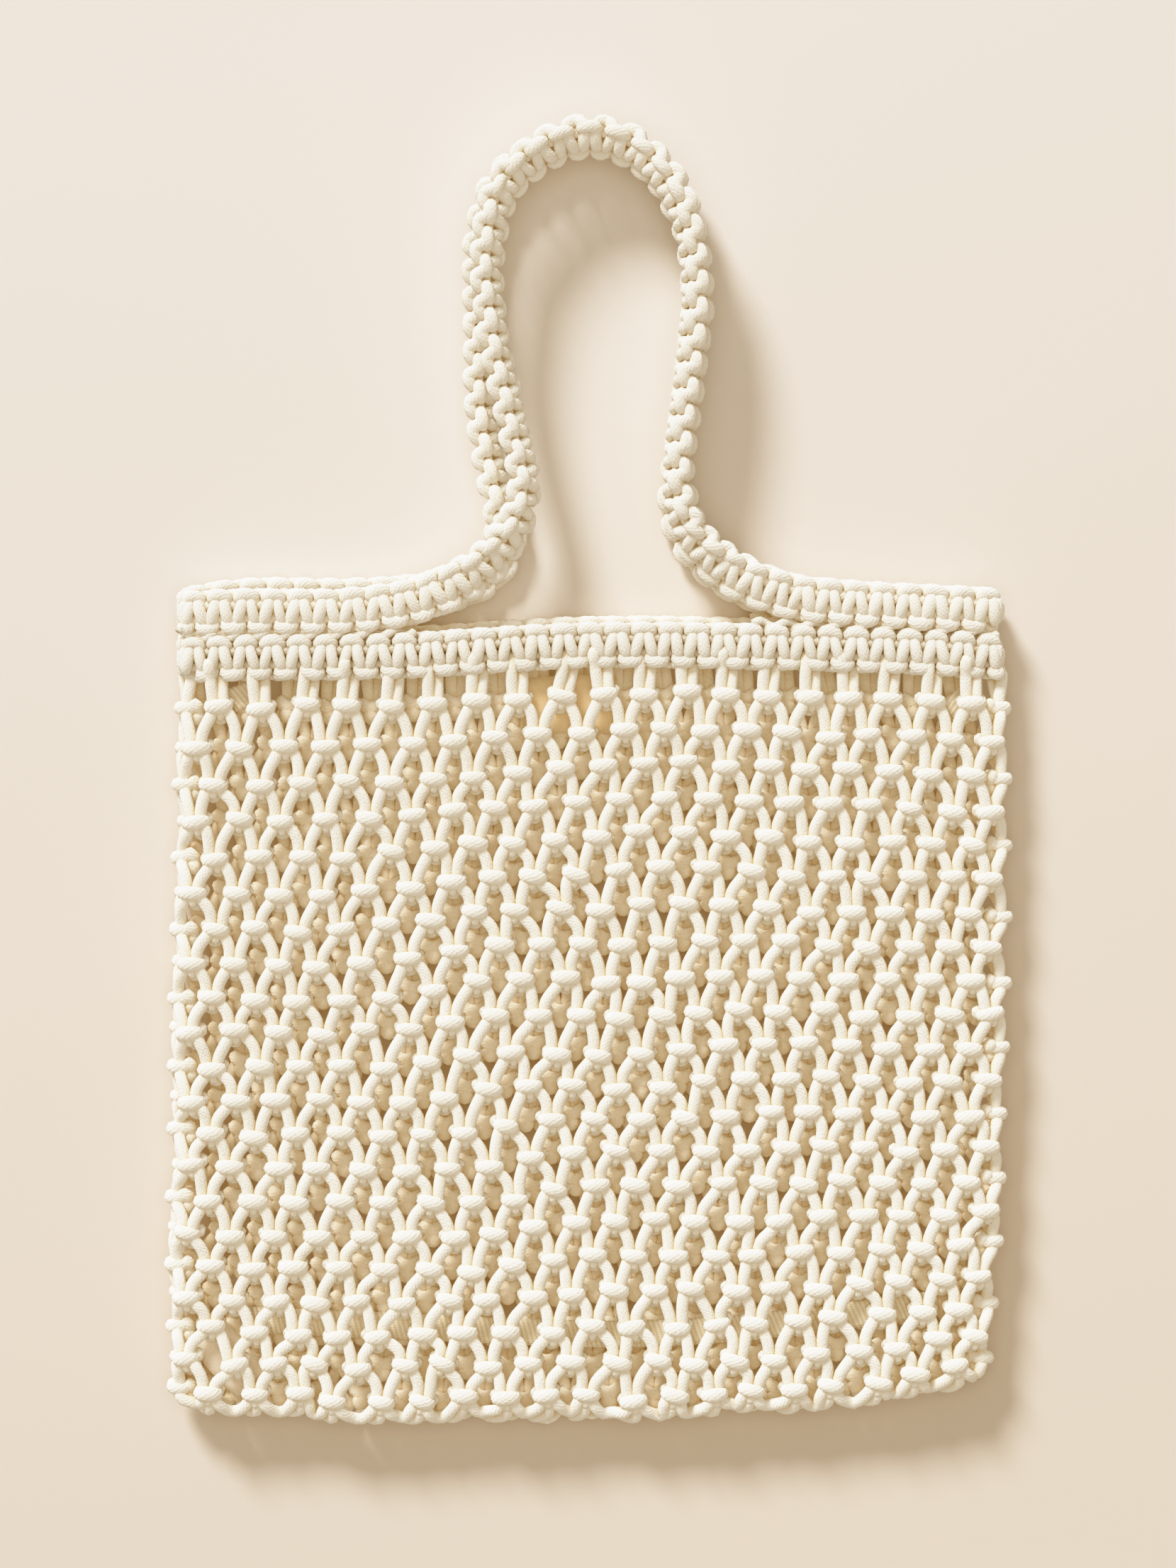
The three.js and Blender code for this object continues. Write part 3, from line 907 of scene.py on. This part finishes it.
def cotton_material(name, looks, glow, painted_shade, shade_reach, fade):
    """Braided cotton: plaits that cross round the cord, soft fibres, a painted glow, and painted shade deep
    between the cords.
    """
    # Painted glow: the cotton emits a little warm light of its own, which lifts its shade and the gaps in
    # the net.
    light = {"Emission Color": (*looks.glow, 1), "Emission Strength": glow}
    finish = Finish(name, {**COTTON_SHADER, **light})
    place = finish.place()
    along, turns = finish.map_parts("cord")
    along = finish.calc("MULTIPLY", along, 2 * math.pi / looks.plait)
    turns = finish.calc("MULTIPLY", turns, 2 * math.pi * looks.plaits)
    along = finish.calc("MULTIPLY_ADD", finish.noise(place, Scale=WOBBLE_SCALE), WOBBLE, along)
    one = finish.calc("SINE", finish.calc("ADD", along, turns))
    two = finish.calc("SINE", finish.calc("SUBTRACT", along, turns))
    braid = finish.calc("MULTIPLY_ADD", two, CROSSING, one)
    fibre = finish.noise(place, Scale=FIBRE_SCALE, Detail=FIBRE_DETAIL)
    finish.bump(finish.calc("MULTIPLY_ADD", braid, BRAID_HEIGHT, fibre), COTTON_BUMP, COTTON_RELIEF)
    patch = finish.noise(place, Scale=PATCH_SCALE)
    share = finish.calc("ADD", finish.calc("MULTIPLY_ADD", braid, BRAID_TONE, patch), LEAST_TONE)
    tone = finish.mix(share, (*looks.cotton_shade, 1), (*looks.cotton, 1))
    # Painted shade: where other cords lie within reach, ambient occlusion mixes the cotton towards a
    # darker, warmer painted shade colour.
    painted_shade_mask = finish.nodes.new("ShaderNodeAmbientOcclusion")
    painted_shade_mask.samples = PAINTED_SHADE_SAMPLES
    painted_shade_mask.inputs["Distance"].default_value = shade_reach
    finish.paint(finish.mix(finish.calc("POWER", painted_shade_mask.outputs["AO"], fade), (*painted_shade, 1), tone))
    return finish.material


def cotton(looks, layer):
    """The cord's material for one layer, which differs by its painted glow and the painted shade deep
    between its cords.
    """
    name = layer + "_cotton"
    settings = {
        "front": (looks.front_glow, looks.net_crevice, looks.net_reach, looks.fade),
        "back": (looks.back_glow, looks.back_crevice, looks.back_reach, looks.back_fade),
        "band": (looks.band_glow, looks.band_crevice, looks.band_reach, looks.fade),
        "strap": (looks.strap_glow, looks.strap_crevice, looks.band_reach, looks.fade),
    }
    return bpy.data.materials.get(name) or cotton_material(name, looks, *settings[layer])


def cloth_material(name, looks, light, cloth):
    """Woven cloth from fine crossing threads on the strip's own map, in metres, with a painted glow."""
    # Painted glow: the tape and labels emit a little warm light of their own, as strong as the back net's.
    glow = {"Emission Color": (*looks.glow, 1), "Emission Strength": looks.back_glow}
    finish = Finish(name, {"Roughness": cloth.roughness, **glow})
    turns = 2 * math.pi / cloth.rib
    warp, weft = (finish.calc("MULTIPLY", part, turns) for part in finish.map_parts("weave"))
    rib = finish.calc("SINE", finish.calc("MULTIPLY_ADD", weft, RIB_SLANT, warp))
    thread = finish.calc("SINE", finish.calc("MULTIPLY", weft, THREADS))
    weave = finish.calc("MULTIPLY_ADD", thread, THREAD_SHARE, rib)
    finish.bump(weave, CLOTH_BUMP, CLOTH_RELIEF)
    share = finish.calc("MULTIPLY_ADD", weave, WEAVE_TONE, MIDDLE_TONE)
    dark = [channel * cloth.shade for channel in light]
    finish.paint(finish.mix(share, (*dark, 1), (*light, 1)))
    return finish.material


def weave_strip(name, cut, material):
    """A woven strip with a gentle wave, given its thickness, and its flat width and length in metres."""
    line = through([(x, y, cut.lift) for x, y in cut.line], max(LEAST_STRIP_ROWS, int(cut.width)))
    length = distances(line)
    along = unit(np.gradient(line, axis=0))
    last = len(line) - 1
    bm = bmesh.new()
    uv = bm.loops.layers.uv.new("weave")
    bmesh.ops.create_grid(bm, x_segments=last, y_segments=STRIP_COLUMNS - 1, size=0.5)
    maps = {}
    for vert in bm.verts:
        share, across = vert.co.x + 0.5, vert.co.y
        row = round(share * last)
        side = Vector((-along[row][1], along[row][0], 0))
        place = Vector(line[row]) + side * across * cut.width
        wave = cut.wave * math.sin(WAVE_ALONG * share + WAVE_ACROSS * across)
        place.z += wave * (WAVE_MIDDLE + WAVE_EDGE * across * across)
        maps[vert] = (length[row] * MM, (across + 0.5) * cut.width * MM)
        vert.co = place * MM
    for face in bm.faces:
        face.smooth = True
        for loop in face.loops:
            loop[uv].uv = maps[loop.vert]
    mesh = bpy.data.meshes.new(name)
    bm.to_mesh(mesh)
    bm.free()
    mesh.materials.append(material)
    piece = bpy.data.objects.new(name, mesh)
    bpy.context.collection.objects.link(piece)
    thick = piece.modifiers.new("thickness", "SOLIDIFY")
    thick.thickness = cut.thickness * MM
    thick.offset = 0
    return piece, (cut.width * MM, length[-1] * MM)


def sew(name, cut, material, held, slot, *nodes):
    """Weaves a strip and dresses it on the bag's one body."""
    piece, flat = weave_strip(name, cut, material)
    dress(piece, slot, *nodes)


def lay_floor(scene, looks):
    """The pale floor, with a painted light falloff that makes it darker away from the window."""
    bm = bmesh.new()
    bmesh.ops.create_grid(bm, x_segments=1, y_segments=1, size=FLOOR_HALF)
    mesh = bpy.data.meshes.new("studio_floor")
    bm.to_mesh(mesh)
    bm.free()
    floor = bpy.data.objects.new("studio_floor", mesh)
    scene.collection.objects.link(floor)
    finish = Finish("pale_floor", {"Roughness": FLOOR_ROUGHNESS})
    # Painted light falloff: the floor's colour darkens from the window's side to the side away from it.
    falloff = finish.nodes.new("ShaderNodeVectorMath")
    falloff.operation = "DOT_PRODUCT"
    falloff.inputs[1].default_value = FLOOR_PAINTED_FALLOFF
    finish.links.new(finish.place(), falloff.inputs[0])
    share = finish.calc("ADD", falloff.outputs["Value"], FLOOR_FALLOFF_MIDDLE)
    finish.paint(finish.mix(share, (*looks.floor, 1), (*looks.floor_far, 1)))
    mesh.materials.append(finish.material)
    return floor


def light_studio(scene, floor):
    """Soft air, one window as two lights, for the floor and for the bag, and a ceiling light."""
    world = bpy.data.worlds.new("studio_air")
    world.use_nodes = True
    air = world.node_tree.nodes["Background"]
    air.inputs["Color"].default_value = (*AIR_COLOUR, 1)
    air.inputs["Strength"].default_value = AIR_STRENGTH
    scene.world = world

    for window in WINDOWS:
        lit = bpy.data.collections.new("lit_by_" + window.name)
        lit.objects.link(floor)
        lit.collection_objects[0].light_linking.link_state = window.floor_state
        light = bpy.data.lights.new(window.name, "SUN")
        light.energy = window.strength
        light.angle = math.radians(window.spread)
        light.color = WINDOW_COLOUR
        sun = bpy.data.objects.new(window.name, light)
        sun.rotation_euler = Vector(window.aim).to_track_quat("-Z", "Y").to_euler()
        sun.light_linking.receiver_collection = lit
        scene.collection.objects.link(sun)

    ceiling = bpy.data.lights.new("ceiling_light", "AREA")
    ceiling.shape = "DISK"
    ceiling.size = CEILING_WIDTH
    ceiling.energy = CEILING_POWER
    ceiling.color = AIR_COLOUR
    above = bpy.data.objects.new("ceiling_light", ceiling)
    above.location = (0, 0, CEILING_HEIGHT)
    scene.collection.objects.link(above)


def set_camera(scene):
    """The camera straight above, at the photograph's scale on the front net."""
    lens = bpy.data.cameras.new("overhead_camera")
    lens.sensor_fit = "VERTICAL"
    lens.sensor_height = SENSOR_HEIGHT
    lens.lens = SENSOR_HEIGHT * CAMERA_HEIGHT / (PHOTO_ROWS * MM_PER_ROW * MM)
    camera = bpy.data.objects.new("overhead_camera", lens)
    camera.location = (*CAMERA_PLACE, CAMERA_HEIGHT + NET_TOP)
    scene.collection.objects.link(camera)
    scene.camera = camera


def set_print(scene, looks):
    """Light that bounces deep into the net, and the curves of a warm print with a soft shoulder."""
    scene.cycles.max_bounces = BOUNCES
    scene.cycles.diffuse_bounces = DIFFUSE_BOUNCES
    scene.view_settings.view_transform = "Standard"
    scene.view_settings.use_curve_mapping = True
    mapping = scene.view_settings.curve_mapping
    mapping.use_clip = False
    mapping.extend = "HORIZONTAL"
    for curve, power in zip(mapping.curves, looks.print_powers):
        for level in PRINT_LEVELS:
            curve.points.new(level, level**power)
        curve.points[-1].location = (1.0, looks.print_white)
        curve.points.new(PRINT_BRIGHTEST, 1.0)
    mapping.update()


def a_length(name, description, millimetres):
    """A property that is shown as a length, from its default in millimetres."""
    return FloatProperty(name=name, description=description, default=millimetres * MM, unit="LENGTH")


def a_share(name, description, default):
    """A property that is a plain share."""
    return FloatProperty(name=name, description=description, default=default, subtype="FACTOR")


def a_colour(name, description, default):
    """A property that is shown as a colour."""
    return FloatVectorProperty(name=name, description=description, default=default, subtype="COLOR")


class ToteSizes(bpy.types.PropertyGroup):
    """Sizes of the cord, the net and the bands."""

    cord: a_length("Cord", "Diameter of the net's cord", 5.35)
    band_cord: a_length("Band cord", "Diameter of the bands' pulled cord", 5.0)
    columns: IntProperty(name="Columns", description="Knots across one panel", default=20)
    rows: IntProperty(name="Rows", description="Rows of knots on one panel", default=21)
    wall: a_length("Wall", "Thickness of the net through a knot", 7)
    front_z: a_length("Front height", "Height of the front panel's middle", 22.4)
    back_z: a_length("Back height", "Height of the back panel's middle", 6.0)
    hang: a_length("Hang", "From the rim's middle to the first knots", 22.5)
    sag: a_length("Sag", "How far the front panel sinks", 1.5)
    drift: a_share("Drift", "How the columns crowd to the right", 0.012)
    back_shift: a_share("Back shift", "How the back's columns lie aside", -0.025)
    back_rise: a_length("Back rise", "How far the back's rows sit higher", 3.0)
    left_slip: a_length("Left slip", "How far the left rows sink", 9)
    right_slip: a_length("Right slip", "How far the right rows sink", 5)
    tilt: FloatProperty(
        name="Tilt", description="Spread of the knots' turns", default=math.radians(5.5), subtype="ANGLE"
    )
    stray: a_length("Stray", "Spread of the knots' places", 0.65)
    band_pitch: a_length("Band pitch", "From one edge bump to the next", 12.0)
    lashing: a_length("Lashing", "From the rim's middle to the lashing", 10.4)
    sway: a_length("Sway", "How far the net's rows and columns wander", 1.8)
    side_z: a_length("Side height", "Height of the front rim at the sides", 18.2)
    back_side_z: a_length("Back side height", "Height of the back rim at the sides", 8.9)
    back_band_rise: a_length("Back rim rise", "How far the back rim shows above the front one", 3.2)
    back_band_z: a_length("Back rim height", "Height of the back rim's middle", 4.6)


class ToteLooks(bpy.types.PropertyGroup):
    """Colours and weave of the bag and of the floor, with the cotton's painted glow and painted shade and
    the floor's painted light falloff.
    """

    cotton: a_colour("Cotton", "Lit cotton cord", (0.925, 0.923, 0.914))
    cotton_shade: a_colour("Cotton shade", "Cotton between the plaits", (0.885, 0.872, 0.845))
    # Painted shade: these colours, their reach and fade tint the cotton darker and warmer where other cords
    # are near.
    net_crevice: a_colour("Net crevice", "Cotton deep between the net's cords", (0.8, 0.66, 0.46))
    back_crevice: a_colour("Back crevice", "Cotton deep inside the bag", (0.74, 0.62, 0.49))
    band_crevice: a_colour("Band crevice", "Cotton deep between the rim's cords", (0.54, 0.455, 0.35))
    strap_crevice: a_colour("Strap crevice", "Cotton deep between a strap's cords", (0.83, 0.76, 0.67))
    net_reach: a_length("Net reach", "How near another cord warms the net", 4.5)
    back_reach: a_length("Back reach", "How near another cord warms the back net", 14)
    band_reach: a_length("Band reach", "How near another cord warms a band", 6)
    fade: a_share("Fade", "How fast a crevice's tone fades out", 0.45)
    back_fade: a_share("Back fade", "The same inside the bag", 0.25)
    tape: a_colour("Tape", "Woven tape", (0.95, 0.89, 0.8))
    label: a_colour("Label", "Top label's cloth", (0.93, 0.77, 0.6))
    satin: a_colour("Satin", "Corner label's satin", (0.97, 0.91, 0.87))
    # Painted light falloff: the floor's colour goes from the first to the second away from the window.
    floor: a_colour("Floor", "Pale floor towards the window", (0.81, 0.783, 0.788))
    floor_far: a_colour("Far floor", "Pale floor away from the window", (0.735, 0.68, 0.655))
    # Painted glow: warm light that the cotton, tape and labels emit of their own, with its strength for
    # each layer.
    glow: a_colour("Glow", "Light that seeps through the cord", (1.0, 0.8, 0.54))
    front_glow: a_share("Front glow", "Light through the front net", 0.03)
    back_glow: a_share("Back glow", "Light through to the back net", 0.06)
    band_glow: a_share("Band glow", "Light through the rim", 0.005)
    strap_glow: a_share("Strap glow", "Light through a strap", 0.02)
    print_powers: FloatVectorProperty(
        name="Print", description="Powers of the red, green and blue curves", default=(0.8, 0.97, 1.28)
    )
    print_white: a_share("Print white", "Where the print's soft shoulder puts a full white", 0.93)
    plait: a_length("Plait", "Length of one plait along the cord", 1.9)
    plaits: IntProperty(name="Plaits", description="Plaits round the cord", default=9)


def tools(context):
    """The tote's sizes, with lengths in millimetres as in the tables, and its looks."""
    stored = context.scene.tote_sizes
    sizes = SimpleNamespace()
    for name in ToteSizes.__annotations__:
        value = getattr(stored, name)
        if stored.bl_rna.properties[name].unit == "LENGTH":
            # Single precision, as properties hold, decides to which end of a band its last knot goes.
            value = float(np.float32(round(value / MM, LENGTH_DIGITS)))
        setattr(sizes, name, value)
    return sizes, context.scene.tote_looks


class TOTE_OT_set_stage(bpy.types.Operator):
    """Lays the pale floor and sets the light and the camera straight above"""

    bl_idname = "tote.set_stage"
    bl_label = "Set the stage"

    def execute(self, context):
        _, looks = tools(context)
        floor = lay_floor(context.scene, looks)
        light_studio(context.scene, floor)
        set_camera(context.scene)
        set_print(context.scene, looks)
        return {"FINISHED"}


class TOTE_OT_knot_net(bpy.types.Operator):
    """Knots the front and back panels of net, round the sides and over the bottom fold"""

    bl_idname = "tote.knot_net"
    bl_label = "Knot the net"

    def execute(self, context):
        size, looks = tools(context)
        rng = np.random.default_rng(SEEDS["net"])
        net = Net(size, rng)
        meshes = {name: CordMesh() for name in ("front_knots", "front_legs", "back_knots", "back_legs")}
        rows = []
        for row in range(1, size.rows + 1):
            columns = np.arange(net.around) + (0 if row % 2 else 0.5)
            rows.append((columns, net.knots(columns, row)))
        for number, (columns, knots) in enumerate(rows):
            front = columns <= size.columns
            for side, keep in (("front", front), ("back", ~front)):
                kept = pick(knots, keep)
                legs = meshes[side + "_legs"]
                add_knots(kept, meshes[side + "_knots"], size.cord, rng)
                if number == 0:
                    add_hangers(kept, legs, size)
                if number == len(rows) - 1:
                    add_loops(kept, legs, size.cord, rng)
                else:
                    left, right = knots_below(columns, rows[number + 1][1], keep)
                    add_legs(kept, left, right, legs, size.cord, rng)
        last_row = rows[-1][1]
        inner = np.arange(1, size.columns)
        front, back = pick(last_row, inner), pick(last_row, net.around - inner)
        add_fold(front, back, meshes["front_legs"], size.cord)
        for name, mesh in meshes.items():
            side = name.split("_")[0]
            dress(mesh.make("net_" + name, cotton(looks, side)), "cotton_cord", "net_" + side)
        return {"FINISHED"}


class TOTE_OT_knot_rims(bpy.types.Operator):
    """Knots the two bands of the rim"""

    bl_idname = "tote.knot_rims"
    bl_label = "Knot the rims"

    def execute(self, context):
        size, looks = tools(context)
        for layer, place, heights in (
            ("front", "band", (size.front_z, size.side_z, 0)),
            ("back", "back", (size.back_band_z, size.back_side_z, size.back_band_rise)),
        ):
            band = Band(flat_band(*heights))
            mesh = CordMesh()
            add_band(band, mesh, size, np.random.default_rng(SEEDS["rim_" + layer]))
            for span in LASHED:
                add_lashing(band, span, mesh, size)
            dress(mesh.make("rim_band_" + layer, cotton(looks, place)), "cotton_cord", "rim_" + layer)
        return {"FINISHED"}


class TOTE_OT_knot_handles(bpy.types.Operator):
    """Knots the two handle straps, which twist up on to their edges in the loop"""

    bl_idname = "tote.knot_handles"
    bl_label = "Knot the handles"

    def execute(self, context):
        size, looks = tools(context)
        for layer, table in (("front", HANDLE_FRONT), ("back", HANDLE_BACK)):
            mesh = CordMesh()
            add_band(Band(table), mesh, size, np.random.default_rng(SEEDS["handle_" + layer]))
            piece = mesh.make("handle_strap_" + layer, cotton(looks, "strap"))
            dress(piece, "cotton_cord", "handle_" + layer)
        return {"FINISHED"}


class TOTE_OT_sew_tape(bpy.types.Operator):
    """Sews the woven tape over the seam inside the bag"""

    bl_idname = "tote.sew_tape"
    bl_label = "Sew the tape"

    def execute(self, context):
        _, looks = tools(context)
        twill = cloth_material("twill_tape", looks, looks.tape, TWILL)
        sew("inside_tape", INSIDE_TAPE, twill, "laid", "woven_tape", "seam_tape")
        for name, cut in TAPE_ENDS.items():
            sew(name, cut, twill, "laid", "woven_tape")
        return {"FINISHED"}


class TOTE_OT_sew_labels(bpy.types.Operator):
    """Sews in the two plain labels"""

    bl_idname = "tote.sew_labels"
    bl_label = "Sew the labels"

    def execute(self, context):
        _, looks = tools(context)
        cloth = cloth_material("label_cloth", looks, looks.label, LABEL_WEAVE)
        sew("cloth_label", TOP_LABEL, cloth, "hung", "label_cloth", "top_label")
        satin = cloth_material("label_satin", looks, looks.satin, SATIN_WEAVE)
        sew("satin_label", SIDE_LABEL, satin, "hung", "label_satin", "side_label")
        return {"FINISHED"}


class TOTE_PT_maker(bpy.types.Panel):
    """Lists the makers of the tote's pieces"""

    bl_idname = "TOTE_PT_maker"
    bl_label = "Macrame Tote"
    bl_space_type = "VIEW_3D"
    bl_region_type = "UI"
    bl_category = "Tote"

    def draw(self, context):
        for maker in MAKERS:
            self.layout.operator(maker.bl_idname)


MAKERS = (
    TOTE_OT_set_stage,
    TOTE_OT_knot_net,
    TOTE_OT_knot_rims,
    TOTE_OT_knot_handles,
    TOTE_OT_sew_tape,
    TOTE_OT_sew_labels,
)
CLASSES = (ToteSizes, ToteLooks, *MAKERS, TOTE_PT_maker)


def register():
    for cls in CLASSES:
        bpy.utils.register_class(cls)
    bpy.types.Scene.tote_sizes = PointerProperty(type=ToteSizes)
    bpy.types.Scene.tote_looks = PointerProperty(type=ToteLooks)


def unregister():
    del bpy.types.Scene.tote_looks
    del bpy.types.Scene.tote_sizes
    for cls in reversed(CLASSES):
        bpy.utils.unregister_class(cls)


def main():
    register()
    bpy.ops.tote.set_stage()
    bpy.ops.tote.knot_net()
    bpy.ops.tote.knot_rims()
    bpy.ops.tote.knot_handles()
    bpy.ops.tote.sew_tape()
    bpy.ops.tote.sew_labels()


if __name__ == "__main__":
    main()
